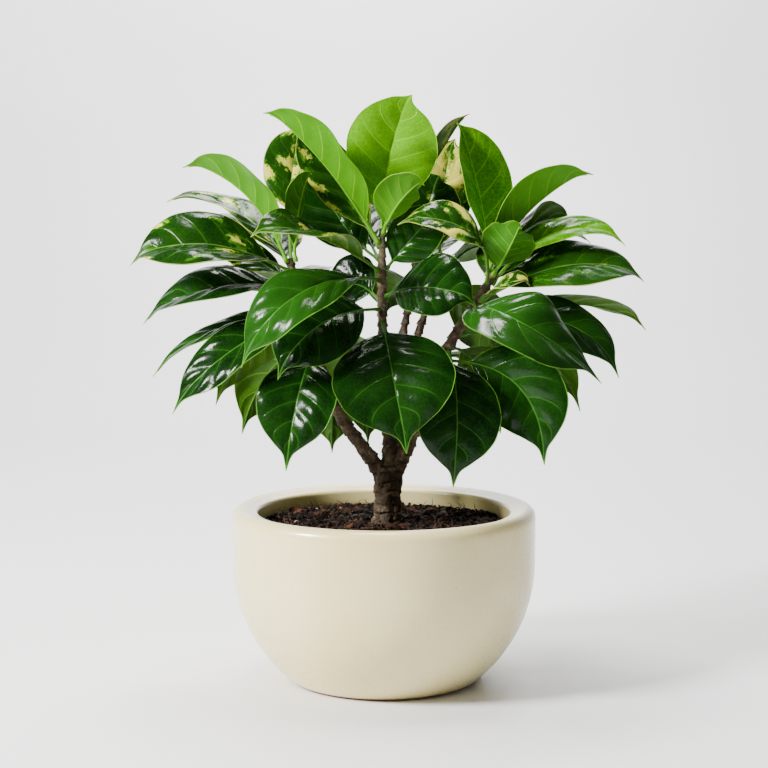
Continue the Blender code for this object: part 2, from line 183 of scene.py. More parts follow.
def next_ring(points, near, ring, level):
    """The next ring's points in the same order."""
    best = None
    here = points[ring] - points[ring].mean(0)
    here /= np.abs(here).max()
    for order in itertools.permutations(level):
        if any(b not in near[a] for a, b in zip(ring, order)):
            continue
        there = points[list(order)] - points[list(order)].mean(0)
        cost = ((there / np.abs(there).max() - here) ** 2).sum()
        if best is None or cost < best[0]:
            best = (cost, list(order))
    return best[1]


def ring_levels(near, start):
    """Whether the leaf falls into whole rings when counted from a start at one of its ends."""
    levels = levels_from(near, start)
    return [len(level) for level in levels] == [1] + [5] * CAD_RINGS


def leaf_rings(name):
    """A CAD leaf's rings from petiole foot to drip tip, (ring, place in ring, 3), and its tip."""
    points, triangles = welded(name)
    near = neighbours(points, triangles)
    ends = [i for i in range(len(points)) if ring_levels(near, i)]
    tip = max(ends, key=lambda i: np.linalg.norm(STEM_POINTS - points[i], axis=1).min())
    levels = levels_from(near, tip)
    rings = levels[:0:-1]
    spans = [np.ptp(points[list(ring)], axis=0).max() for ring in rings]
    widest = int(np.argmax(spans))
    ahead = points[list(rings[widest + 1])].mean(0) - points[list(rings[widest])].mean(0)
    ordered = {widest: first_ring(points, near, rings[widest], ahead)}
    for i in range(widest + 1, CAD_RINGS):
        ordered[i] = next_ring(points, near, ordered[i - 1], rings[i])
    for i in range(widest - 1, -1, -1):
        ordered[i] = next_ring(points, near, ordered[i + 1], rings[i])
    return points[[ordered[i] for i in range(CAD_RINGS)]], points[tip]


def smooth_curve(knots, values, at):
    """A natural cubic spline through rows of values."""
    gaps = np.diff(knots)
    slopes = np.diff(values, axis=0) / gaps[:, None]
    system = np.eye(len(knots))
    right = np.zeros_like(values)
    for i in range(1, len(knots) - 1):
        system[i, i - 1 : i + 2] = gaps[i - 1], 2 * (gaps[i - 1] + gaps[i]), gaps[i]
        right[i] = 6 * (slopes[i] - slopes[i - 1])
    bend = np.linalg.solve(system, right)
    j = np.clip(np.searchsorted(knots, at) - 1, 0, len(gaps) - 1)
    b = ((at - knots[j]) / gaps[j])[:, None]
    a = 1 - b
    curved = (a**3 - a) * bend[j] + (b**3 - b) * bend[j + 1]
    return a * values[j] + b * values[j + 1] + curved * gaps[j][:, None] ** 2 / 6


def steady_curve(knots, values, at):
    """A cubic curve through values that never overshoots them."""
    gaps = np.diff(knots)
    slopes = np.diff(values) / gaps
    grade = np.concatenate([slopes[:1], np.zeros(len(gaps) - 1), slopes[-1:]])
    for i in range(1, len(gaps)):
        before, after = slopes[i - 1], slopes[i]
        if before * after > 0:
            heavy, light = 2 * gaps[i] + gaps[i - 1], gaps[i] + 2 * gaps[i - 1]
            grade[i] = (heavy + light) / (heavy / before + light / after)
    j = np.clip(np.searchsorted(knots, at) - 1, 0, len(gaps) - 1)
    t = (at - knots[j]) / gaps[j]
    rise = values[j + 1] - values[j]
    lift = gaps[j] * (grade[j] * (1 - t) - grade[j + 1] * t)
    return values[j] + rise * t * t * (3 - 2 * t) + t * (1 - t) * lift


def vein_phase(share, across):
    """Whole numbers lie on the side veins. The two halves' veins leave the midrib in turn."""
    reach = np.abs(across)
    forward = VEIN_LEAN * reach + VEIN_ARCH * reach**2
    return VEIN_PAIRS * (share - forward) + VEIN_STAGGER * (across > 0)


def grid_faces(rows, columns, start=0, flip=False):
    faces = []
    for i in range(rows - 1):
        for j in range(columns - 1):
            a = start + i * columns + j
            face = (a, a + 1, a + columns + 1, a + columns)
            faces.append(face[::-1] if flip else face)
    return faces


def tube(path, radii, sides):
    """Points and faces of a closed tube along a path, and how far along it each point is."""
    path = np.asarray(path)
    along = unit(np.gradient(path, axis=0))
    aside = np.cross(along, (0.31, 0.17, 0.93))
    aside = unit(aside)
    other = np.cross(along, aside)
    turns = np.arange(sides) * 2 * math.pi / sides
    ring = np.cos(turns)[:, None, None] * aside + np.sin(turns)[:, None, None] * other
    points = path + ring * np.asarray(radii)[:, None]
    points = points.transpose(1, 0, 2).reshape(-1, 3)
    faces = []
    for i in range(len(path) - 1):
        for j in range(sides):
            a, b = i * sides + j, i * sides + (j + 1) % sides
            faces.append((a, b, b + sides, a + sides))
    faces.append(tuple(range(sides))[::-1])
    faces.append(tuple(range(len(points) - sides, len(points))))
    return points, faces


class Leaf:
    """One leaf: its blade's two faces, its rim, and its petiole with the midrib under the blade."""

    def __init__(self, name):
        self.name = name
        self.kind = name.split("_")[0]
        self.random = random.Random(name)
        self.seed = self.random.random()
        self.rings, self.tip = leaf_rings(name)
        self.read_rings()
        self.build_blade()

    def read_rings(self):
        rings, tip = self.rings, self.tip
        tops = np.vstack([rings[:, 1], tip])
        spread = (rings[:, 2] - rings[:, 0]) / 2
        rise = (rings[:, 2] + rings[:, 0]) / 2 - rings[:, 1]
        width = np.linalg.norm(spread, axis=1)
        steps = np.linalg.norm(np.diff(tops, axis=0), axis=1)
        self.knots = np.concatenate([[0.0], np.cumsum(steps)])
        self.start, self.end = self.knots[1], self.knots[-1]
        self.length = self.end - self.start
        self.tops = tops
        self.widths = np.append(width, 0.0)
        sides = unit(spread)
        folds = rise / width[:, None]
        folds[:2] = folds[2]
        self.sides = np.vstack([sides, sides[-1]])
        self.folds = np.vstack([folds, folds[-1]])

    def at(self, distance):
        """Midrib point, half-width, side direction and fold at distances from the foot."""
        top = smooth_curve(self.knots, self.tops, distance)
        width = steady_curve(self.knots, self.widths, distance)
        side = unit(smooth_curve(self.knots, self.sides, distance))
        fold = smooth_curve(self.knots, self.folds, distance)
        return top, np.maximum(width, LEAST_HALF_WIDTH), side, fold

    def build_blade(self):
        share = np.concatenate(
            [
                np.linspace(0, TIP_START, BLADE_STATIONS, endpoint=False),
                np.linspace(TIP_START, 1, TIP_STATIONS),
            ]
        )
        half = (1 - np.cos(np.linspace(0, math.pi, HALF_COLUMNS))) / 2
        across = np.concatenate([-half[:0:-1], half])
        top, width, side, fold = self.at(self.start + share * self.length)
        s, v = np.meshgrid(share, across, indexing="ij")
        w = width[:, None]
        round_v = (np.sqrt(v**2 + FOLD_ROUND_SHARE**2) - FOLD_ROUND_SHARE) / (
            math.sqrt(1 + FOLD_ROUND_SHARE**2) - FOLD_ROUND_SHARE
        )
        flat = top[:, None] + w[..., None] * (
            v[..., None] * side[:, None] + round_v[..., None] * fold[:, None]
        )
        up = np.cross(np.gradient(flat, axis=1), np.gradient(flat, axis=0))
        middle = np.cross(side, np.gradient(top, axis=0))
        thin = width < 4 * LEAST_HALF_WIDTH
        up[thin] = middle[thin][:, None]
        up = unit(up)
        reach = np.abs(v)
        blend = np.sin(math.pi * np.clip(s, 0, 1)) ** 0.5 * (1 - s**6)
        phase = vein_phase(s, v)
        swell = np.abs(np.sin(math.pi * phase)) ** 0.7
        fade = np.sin(math.pi * reach**0.9) ** 0.6 * blend
        ripple = math.tau * (s * self.random.uniform(1.3, 2.2) + self.seed)
        wave = np.sin(ripple + 1.2 * (v > 0)) * WAVE_SHARE * w * reach**3 * blend
        crown = CROWN_SHARE * w * np.sin(math.pi * reach) * blend
        curl = -CURL_SHARE * w * reach**4 * blend
        groove = -GROOVE_DEPTH * np.exp(-((reach * w / GROOVE_WIDTH) ** 2)) * (1 - s) ** 0.6
        quilt = QUILT[self.kind] * np.minimum(1.0, self.length / 0.07)
        dents = self.dents(s, v) * DENT_SHARE * w * (0.25 + 0.75 * reach) * blend
        height = quilt * (swell - 0.5) * fade + wave + crown + curl + groove + dents
        upper = flat + up * height[..., None]
        veins = np.clip(1 - swell * 1.8, 0, 1) * fade * UNDERSIDE_VEIN
        thickness = BLADE_THICKNESS * (1 - 0.4 * reach**6) + veins
        self.upper = upper
        self.lower = upper - up * thickness[..., None]
        self.up, self.s, self.v, self.w = up, s, v, w * np.ones_like(v)

    def dents(self, s, v):
        """Slow unevenness, different on every leaf, from -1 to 1."""
        total = np.zeros_like(s)
        for _ in range(5):
            turns = self.random.uniform(0.8, 2.6) * s + self.random.uniform(-1.6, 1.6) * v
            total += np.sin(math.tau * (turns + self.random.random()))
        return total / 3

    def mesh_data(self):
        rows, columns = self.s.shape
        count = rows * columns
        index = np.arange(count).reshape(rows, columns)
        loop = [*index[:, 0], *index[-1, 1:], *index[-2::-1, -1], *index[0, -2:0:-1]]
        upper, lower = self.upper.reshape(-1, 3), self.lower.reshape(-1, 3)
        centre = upper[index[:, columns // 2]]
        rim_rows = [i // columns for i in loop]
        middle = (upper[loop] + lower[loop]) / 2
        outward = unit(middle - centre[rim_rows])
        rim = middle + outward * EDGE_ROUND
        faces = grid_faces(rows, columns, flip=True) + grid_faces(rows, columns, count)
        kinds = [0] * (rows - 1) * (columns - 1) + [1] * (rows - 1) * (columns - 1)
        size = len(loop)
        for i in range(size):
            j = (i + 1) % size
            a, b = 2 * count + i, 2 * count + j
            faces.append((loop[i], loop[j], b, a))
            faces.append((a, b, count + loop[j], count + loop[i]))
            kinds += [0, 1]
        places = np.stack([self.s, self.v, self.w], axis=-1).reshape(-1, 3)
        places = np.vstack([places, places, places[loop]])
        ribs = np.zeros(len(places))
        points = np.vstack([upper, lower, rim])
        stalk, stalk_faces, stalk_places = self.stalk()
        faces += [tuple(i + len(points) for i in face) for face in stalk_faces]
        kinds += [1] * len(stalk_faces)
        points = np.vstack([points, stalk])
        places = np.vstack([places, stalk_places])
        ribs = np.append(ribs, np.ones(len(stalk)))
        return points, faces, kinds, places, ribs

    def stalk(self):
        """The petiole, sunk into the limb, and the midrib that it becomes under the blade."""
        end = self.start + MIDRIB_END_SHARE * self.length
        along = np.concatenate(
            [np.linspace(0, self.start, 9)[:-1], np.linspace(self.start, end, 34)]
        )
        top, _, side, _ = self.at(along)
        ahead = unit(np.gradient(top, axis=0))
        up = unit(np.cross(side, ahead))
        share = np.clip((along - self.start) / self.length, 0, 1)
        on_stalk = np.clip(along / self.start, 0, 1)
        foot = PETIOLE_FOOT_RADIUS - PETIOLE_RADIUS
        radius = PETIOLE_RADIUS + foot * np.clip(1 - on_stalk * 3, 0, 1) ** 2
        radius -= (PETIOLE_RADIUS - MIDRIB_END_RADIUS) * share**0.6
        depth = radius * 0.8 + (GROOVE_DEPTH + BLADE_THICKNESS * 0.3) * np.minimum(share * 12, 1)
        path = top - up * depth[:, None]
        path = np.vstack([path[0] - ahead[0] * PETIOLE_SINK, path])
        radius = np.append(radius[0], radius)
        points, faces = tube(path, radius, PETIOLE_SIDES)
        share = np.append(0.0, share)
        places = np.zeros((len(path), PETIOLE_SIDES, 3))
        places[..., 0] = share[:, None]
        places[..., 2] = 0.01
        return points, faces, places.reshape(-1, 3)

    def make(self, materials):
        points, faces, kinds, places, ribs = self.mesh_data()
        obj = new_piece(f"{self.name}_blade", points, faces)
        mesh = obj.data
        mesh.materials.append(materials[self.kind, "top"])
        mesh.materials.append(materials[self.kind, "under"])
        mesh.polygons.foreach_set("material_index", kinds)
        share, across, width = places.T
        flat = np.column_stack([share * self.length / MM, across * width / MM, 0 * share])
        flat[:, 2] = 100 * self.seed
        tone = LEAF_TONE.get(self.name, TONE[self.kind] + self.random.uniform(-0.15, 0.15))
        cream = LEAF_CREAM.get(self.name, CREAM)
        look = np.column_stack([np.full(len(points), tone), np.full(len(points), cream), ribs])
        rim = (1 - np.abs(across)) * width / MM
        store(mesh, "leaf_place", np.column_stack([share, across, np.full(len(points), self.seed)]))
        store(mesh, "leaf_flat", flat)
        store(mesh, "leaf_look", look)
        store(mesh, "leaf_rim", np.where(ribs > 0, 9.0, rim))
        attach(obj, "root")
        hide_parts(self.name)
        return obj


def store(mesh, name, values):
    values = np.asarray(values, np.float32)
    if values.ndim == 2:
        attribute = mesh.attributes.new(name, "FLOAT_VECTOR", "POINT")
        attribute.data.foreach_set("vector", values.ravel())
    else:
        attribute = mesh.attributes.new(name, "FLOAT", "POINT")
        attribute.data.foreach_set("value", values)


def new_piece(name, points, faces):
    mesh = bpy.data.meshes.new(name)
    mesh.from_pydata(np.asarray(points).tolist(), [], [tuple(map(int, f)) for f in faces])
    mesh.shade_smooth()
    mesh.update()
    obj = bpy.data.objects.new(name, mesh)
    bpy.context.scene.collection.objects.link(obj)
    return obj


class Nodes:
    """Short calls that build one material's nodes around its Principled shader."""

    def __init__(self, name, **sockets):
        self.material = bpy.data.materials.new(name)
        self.material.use_nodes = True
        self.tree = self.material.node_tree
        self.shader = self.tree.nodes["Principled BSDF"]
        for socket, value in sockets.items():
            self.shader.inputs[socket.replace("_", " ")].default_value = value

    def add(self, kind, **settings):
        node = self.tree.nodes.new(f"ShaderNode{kind}")
        for key, value in settings.items():
            setattr(node, key, value)
        return node

    def put(self, socket, value):
        """Links a socket to another, or sets its value."""
        if isinstance(value, bpy.types.NodeSocket):
            self.tree.links.new(value, socket)
        elif isinstance(value, tuple) and len(value) == 3 and socket.type == "RGBA":
            socket.default_value = (*value, 1.0)
        else:
            socket.default_value = value

    def math(self, operation, a, b=0.0, clamp=False):
        node = self.add("Math", operation=operation, use_clamp=clamp)
        self.put(node.inputs[0], a)
        self.put(node.inputs[1], b)
        return node.outputs[0]

    def step(self, value, low, high, out_low=0.0, out_high=1.0):
        """A smooth step from out_low at low to out_high at high."""
        node = self.add("MapRange", interpolation_type="SMOOTHSTEP")
        for socket, given in zip(node.inputs, (value, low, high, out_low, out_high)):
            self.put(socket, given)
        return node.outputs[0]

    def mix(self, share, a, b, blend="MIX"):
        node = self.add("Mix", data_type="RGBA", blend_type=blend)
        for socket, given in zip((node.inputs[0], node.inputs[6], node.inputs[7]), (share, a, b)):
            self.put(socket, given)
        return node.outputs[2]

    def split(self, vector):
        node = self.add("SeparateXYZ")
        self.put(node.inputs[0], vector)
        return node.outputs

    def join(self, x, y, z):
        node = self.add("CombineXYZ")
        for socket, given in zip(node.inputs, (x, y, z)):
            self.put(socket, given)
        return node.outputs[0]

    def attribute(self, name, output="Vector"):
        return self.add("Attribute", attribute_name=name).outputs[output]

    def place(self):
        return self.add("TexCoord").outputs["Object"]

    def noise(self, vector, scale, detail=2.0, roughness=0.5, output="Fac"):
        node = self.add("TexNoise")
        self.put(node.inputs["Vector"], vector)
        self.put(node.inputs["Scale"], scale)
        self.put(node.inputs["Detail"], detail)
        self.put(node.inputs["Roughness"], roughness)
        return node.outputs[output]

    def cells(self, vector, scale, feature="F1", output="Distance"):
        node = self.add("TexVoronoi", feature=feature)
        self.put(node.inputs["Vector"], vector)
        self.put(node.inputs["Scale"], scale)
        return node.outputs[output]

    def bump(self, height, distance, strength=1.0, after=None):
        node = self.add("Bump")
        node.inputs["Strength"].default_value = strength
        node.inputs["Distance"].default_value = distance
        self.put(node.inputs["Height"], height)
        if after is not None:
            self.put(node.inputs["Normal"], after)
        return node.outputs[0]

    def finish(self, colour, roughness, normal=None):
        self.put(self.shader.inputs["Base Color"], colour)
        self.put(self.shader.inputs["Roughness"], roughness)
        if normal is not None:
            self.put(self.shader.inputs["Normal"], normal)
        return self.material


def leaf_lines(n):
    """Sockets that every leaf material uses: veins, midrib, rim and the leaf's own values."""
    share, across, seed = n.split(n.attribute("leaf_place"))
    flat = n.attribute("leaf_flat")
    tone, cream, rib = n.split(n.attribute("leaf_look"))
    rim = n.attribute("leaf_rim", "Fac")
    reach = n.math("ABSOLUTE", across)
    forward = n.math("MULTIPLY", reach, VEIN_LEAN)
    arch = n.math("MULTIPLY", n.math("MULTIPLY", reach, reach), VEIN_ARCH)
    bare = n.math("SUBTRACT", n.math("SUBTRACT", share, forward), arch)
    stagger = n.math("MULTIPLY", n.math("GREATER_THAN", across, 0.0), VEIN_STAGGER)
    phase = n.math("ADD", n.math("MULTIPLY", bare, VEIN_PAIRS), stagger)
    nearest = n.math("PINGPONG", phase, 0.5)
    fade = n.step(reach, 0.55, 0.97, 1.0, 0.0)
    vein = n.math("MULTIPLY", n.step(nearest, 0.012, 0.050, 1.0, 0.0), fade)
    _, sideways, _ = n.split(flat)
    off_middle = n.math("ABSOLUTE", sideways)
    midrib = n.step(off_middle, 0.25, 0.75, 1.0, 0.0)
    edge = n.step(rim, 0.25, 0.60, 1.0, 0.0)
    return {
        "share": share,
        "reach": reach,
        "seed": seed,
        "flat": flat,
        "tone": tone,
        "cream": cream,
        "phase": phase,
        "between": nearest,
        "vein": vein,
        "midrib": midrib,
        "rib": rib,
        "edge": edge,
    }


def cream_masks(n, line):
    """How much a place is cream, and how much it is the paler green round the cream."""
    ragged = n.noise(line["flat"], 0.28, 4.0, 0.6)
    jitter = n.math("MULTIPLY", n.math("SUBTRACT", ragged, 0.5), 1.1)
    x = n.math("ADD", n.math("MULTIPLY", line["phase"], 0.75), jitter)
    y = n.math("MULTIPLY", line["reach"], 1.1)
    z = n.math("MULTIPLY", line["seed"], 57.0)
    patch = n.noise(n.join(x, y, z), 1.25, 3.0, 0.55)
    limit = n.math("SUBTRACT", 0.66, n.math("MULTIPLY", line["cream"], 0.26))
    above = n.math("SUBTRACT", patch, limit)
    return n.step(above, -0.012, 0.045), n.step(above, -0.080, 0.0)


TOP_COLOURS = {
    "new": ((0.008, 0.095, 0.0), (0.120, 0.370, 0.0), (0.25, 0.56, 0.002)),
    "mature": ((0.0012, 0.0100, 0.0012), (0.014, 0.080, 0.0040), (0.030, 0.120, 0.010)),
    "variegated": ((0.0016, 0.0150, 0.0010), (0.018, 0.088, 0.0030), (0.045, 0.150, 0.010)),
}
LEAF_IOR = 1.30
NET_SHOW = {"new": 0.26, "mature": 0.09, "variegated": 0.09}
GLOSS = {"new": 0.26, "mature": 0.36, "variegated": 0.32}
VEIN_SHOW = {"new": 0.55, "mature": 0.34, "variegated": 0.30}
RIM_COLOURS = {
    "new": (0.26, 0.50, 0.02),
    "mature": (0.110, 0.290, 0.025),
    "variegated": (0.34, 0.42, 0.08),
}
MIDRIB_COLOURS = {
    "new": (0.24, 0.55, 0.03),
    "mature": (0.050, 0.180, 0.020),
    "variegated": (0.10, 0.23, 0.04),
}


def leaf_top(kind):
    """The glossy upper face."""
    n = Nodes(f"{kind}_leaf_top", IOR=LEAF_IOR, Specular_IOR_Level=GLOSS[kind])
    line = leaf_lines(n)
    dark, light, vein_colour = TOP_COLOURS[kind]
    blotch = n.noise(line["flat"], 0.055, 3.0, 0.6)
    shade = n.math("ADD", line["tone"], n.math("MULTIPLY", n.math("SUBTRACT", blotch, 0.5), 0.6))
    near_rib = n.step(line["reach"], 0.0, 0.5, 0.12, 0.0)
    near_vein = n.step(line["between"], 0.0, 0.28, 0.10, 0.0)
    shade = n.math("ADD", n.math("ADD", shade, near_rib), near_vein, clamp=True)
    colour = n.mix(shade, dark, light)
    if kind == "variegated":
        cream, halo = cream_masks(n, line)
        gold = n.mix(n.noise(line["flat"], 0.12), (0.70, 0.56, 0.12), (0.44, 0.46, 0.03))
        colour = n.mix(n.math("MULTIPLY", halo, 0.8), colour, (0.050, 0.190, 0.008))
        colour = n.mix(cream, colour, gold)
    colour = n.mix(n.math("MULTIPLY", line["vein"], VEIN_SHOW[kind]), colour, vein_colour)
    colour = n.mix(n.math("MULTIPLY", line["midrib"], 0.65), colour, MIDRIB_COLOURS[kind])
    net = n.cells(line["flat"], 0.30, "DISTANCE_TO_EDGE")
    net_line = n.step(net, 0.0, 0.10, 1.0, 0.0)
    colour = n.mix(n.math("MULTIPLY", net_line, NET_SHOW[kind]), colour, vein_colour)
    colour = n.mix(n.math("MULTIPLY", line["edge"], 0.8), colour, RIM_COLOURS[kind])
    film = n.noise(line["flat"], 0.10, 3.0, 0.55)
    roughness = n.step(film, 0.3, 0.7, 0.12, 0.22)
    relief = n.math("MULTIPLY", net_line, -0.08)
    relief = n.math("ADD", relief, n.math("MULTIPLY", line["vein"], -0.8))
    relief = n.math("ADD", relief, n.math("MULTIPLY", n.noise(line["flat"], 0.20), 0.5))
    return n.finish(colour, roughness, n.bump(relief, 0.0004, 0.5))


UNDER_COLOURS = {
    "new": ((0.012, 0.100, 0.0), (0.066, 0.255, 0.0), (0.16, 0.38, 0.006)),
    "mature": ((0.014, 0.055, 0.001), (0.060, 0.160, 0.002), (0.12, 0.25, 0.01)),
    "variegated": ((0.016, 0.070, 0.002), (0.055, 0.165, 0.003), (0.14, 0.26, 0.02)),
}
STALK_COLOURS = {
    "new": (0.110, 0.320, 0.008),
    "mature": (0.032, 0.120, 0.006),
    "variegated": (0.060, 0.150, 0.012),
}


def leaf_under(kind):
    """The duller underside, with its raised pale veins, and the petiole."""
    n = Nodes(f"{kind}_leaf_underside", IOR=LEAF_IOR, Specular_IOR_Level=0.40)
    line = leaf_lines(n)
    dark, light, vein_colour = UNDER_COLOURS[kind]
    blotch = n.noise(line["flat"], 0.06, 3.0, 0.6)
    shade = n.math("ADD", line["tone"], n.math("MULTIPLY", n.math("SUBTRACT", blotch, 0.5), 0.5))
    colour = n.mix(n.math("ADD", shade, 0.15, clamp=True), dark, light)
    if kind == "variegated":
        cream, halo = cream_masks(n, line)
        colour = n.mix(n.math("MULTIPLY", halo, 0.5), colour, (0.10, 0.19, 0.02))
        colour = n.mix(n.math("MULTIPLY", cream, 0.8), colour, (0.34, 0.32, 0.08))
    net = n.step(n.cells(line["flat"], 0.5, "DISTANCE_TO_EDGE"), 0.0, 0.08, 1.0, 0.0)
    colour = n.mix(n.math("MULTIPLY", net, 0.12), colour, vein_colour)
    colour = n.mix(n.math("MULTIPLY", line["vein"], 0.7), colour, vein_colour)
    colour = n.mix(n.math("MULTIPLY", line["midrib"], 0.9), colour, vein_colour)
    colour = n.mix(n.math("MULTIPLY", line["edge"], 0.6), colour, RIM_COLOURS[kind])
    colour = n.mix(line["rib"], colour, STALK_COLOURS[kind])
    grain = n.noise(line["flat"], 0.7, 3.0, 0.6)
    roughness = n.step(grain, 0.3, 0.7, 0.42, 0.55)
    relief = n.math("ADD", n.math("MULTIPLY", net, 0.3), line["vein"])
    relief = n.math("ADD", relief, n.math("MULTIPLY", grain, 0.2))
    return n.finish(colour, roughness, n.bump(relief, 0.0004, 0.5))


# Pot.
POT_STEPS = 180
POT_UNEVENNESS = 0.00012


def profile_of(name):
    """A turned CAD node's outline as (radius, height), from its inside out and down to its foot."""
    points, triangles = welded(name)
    near = neighbours(points, triangles)
    left = {i for i, p in enumerate(points) if abs(p[1]) < 1e-6 and p[0] > 0}
    foot = min(left, key=lambda i: points[i][2])
    path = [min(left - {foot}, key=lambda i: points[i][0])]
    left -= {foot, path[0]}
    while near[path[-1]] & left:
        here = points[path[-1]]
        path.append(min(near[path[-1]] & left, key=lambda i: np.linalg.norm(points[i] - here)))
        left.discard(path[-1])
    outline = [(points[i][0], points[i][2]) for i in [*path, foot]]
    return [(0.0, outline[0][1]), *outline, (0.0, outline[-1][1])]


def finer(profile, longest):
    """The outline with each long stretch cut into shorter ones."""
    out = [profile[0]]
    for a, b in zip(profile, profile[1:]):
        pieces = max(1, math.ceil(math.dist(a, b) / longest))
        for k in range(1, pieces + 1):
            out.append((a[0] + (b[0] - a[0]) * k / pieces, a[1] + (b[1] - a[1]) * k / pieces))
    return out


def turned(name, profile, steps, shift):
    """A closed solid of revolution. shift(point) gives each point's own small move."""
    inner = [p for p in profile if p[0] > 1e-6]
    points = []
    for k in range(steps):
        angle = math.tau * k / steps
        for r, z in inner:
            point = Vector((r * math.cos(angle), r * math.sin(angle), z))
            points.append(point + shift(point))
    columns = len(inner)
    faces = []
    for k in range(steps):
        a, b = k * columns, (k + 1) % steps * columns
        for i in range(columns - 1):
            faces.append((a + i, b + i, b + i + 1, a + i + 1))
    for end, z in ((0, profile[0][1]), (columns - 1, profile[-1][1])):
        pole = Vector((0, 0, z))
        points.append(pole + shift(pole))
        for k in range(steps):
            a, b = k * columns + end, (k + 1) % steps * columns + end
            face = (b, a, len(points) - 1)
            faces.append(face if end == 0 else face[::-1])
    return new_piece(name, points, faces)


def make_pot():
    def shift(point):
        wobble = noise.noise(point * 18) * POT_UNEVENNESS
        return Vector((point.x, point.y, 0)).normalized() * wobble

    pot = turned("glazed_pot", finer(profile_of("pot"), 0.006), POT_STEPS, shift)
    pot.data.set_sharp_from_angle(angle=math.radians(40))
    n = Nodes("cream_glaze", Coat_Weight=0.45, Coat_Roughness=0.10)
    place = n.place()
    _, _, z = n.split(place)
    cloud = n.noise(place, 9.0, 4.0, 0.55)
    colour = n.mix(n.step(cloud, 0.3, 0.7), (0.770, 0.640, 0.290), (0.840, 0.730, 0.380))
    fleck = n.cells(place, 150.0)
    pick = n.split(n.cells(place, 150.0, output="Color"))[0]
    spots = n.math("MULTIPLY", n.step(fleck, 0.05, 0.16, 1.0, 0.0), n.step(pick, 0.90, 0.93))
    colour = n.mix(n.math("MULTIPLY", spots, 0.45), colour, (0.34, 0.25, 0.13))
    pooled = n.step(n.noise(place, 30.0, 3.0, 0.6), 0.45, 0.75, 0.0, 0.08)
    colour = n.mix(pooled, colour, (0.56, 0.47, 0.27))
    ragged = n.math("MULTIPLY", n.noise(place, 60.0), 0.0016)
    foot = n.step(n.math("SUBTRACT", z, ragged), 0.0010, 0.0024, 1.0, 0.0)
    colour = n.mix(foot, colour, (0.40, 0.22, 0.09))
    fine = n.noise(place, 420.0, 3.0, 0.6)
    roughness = n.step(fine, 0.3, 0.7, 0.26, 0.36)
    roughness = n.math("ADD", roughness, n.math("MULTIPLY", foot, 0.4), clamp=True)
    relief = n.math("ADD", n.noise(place, 70.0, 2.0), n.math("MULTIPLY", fine, 0.15))
    pot.data.materials.append(n.finish(colour, roughness, n.bump(relief, 0.0006, 0.25)))
    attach(pot, "root")
    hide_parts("pot")


# Soil.
SOIL_STEPS = 220
SOIL_ROUGHNESS = 0.0016
SOIL_TOP_DEPTH = 0.0045
CHIP_COUNT = 300
CRUMB_COUNT = 3600
FIBRE_COUNT = 420
PALE_COUNT = 26


def soil_noise(point):
    big = noise.noise(Vector((point.x, point.y, 0)) * 55)
    small = noise.noise(Vector((point.x, point.y, 3)) * 190)
    grains = noise.noise(Vector((point.x, point.y, 7)) * 520)
    return SOIL_ROUGHNESS * (0.9 * big + 0.7 * small + 0.4 * grains)


def soil_top(x, y, profile):
    """Height of the soil's surface at a place."""
    r = math.hypot(x, y)
    for (r0, z0), (r1, z1) in zip(profile, profile[1:]):
        if r0 <= r <= r1:
            z = z0 + (z1 - z0) * (r - r0) / (r1 - r0)
            return z + soil_noise(Vector((x, y, 0)))
    return profile[-1][1]


def soil_profile():
    """The soil's top as (radius, height) from the middle out, and its wall from the edge down."""
    outline = profile_of("soil")[1:-1]
    low = max(z for _, z in outline) - SOIL_TOP_DEPTH
    edge = max(outline, key=lambda point: (point[1] > low, point[0]))
    split = outline.index(edge)
    top = [p for p in outline[: split + 1] if p[1] > low]
    return [(0.0, top[0][1]), *top], [*outline[split + 1 :], (0.0, outline[-1][1])]


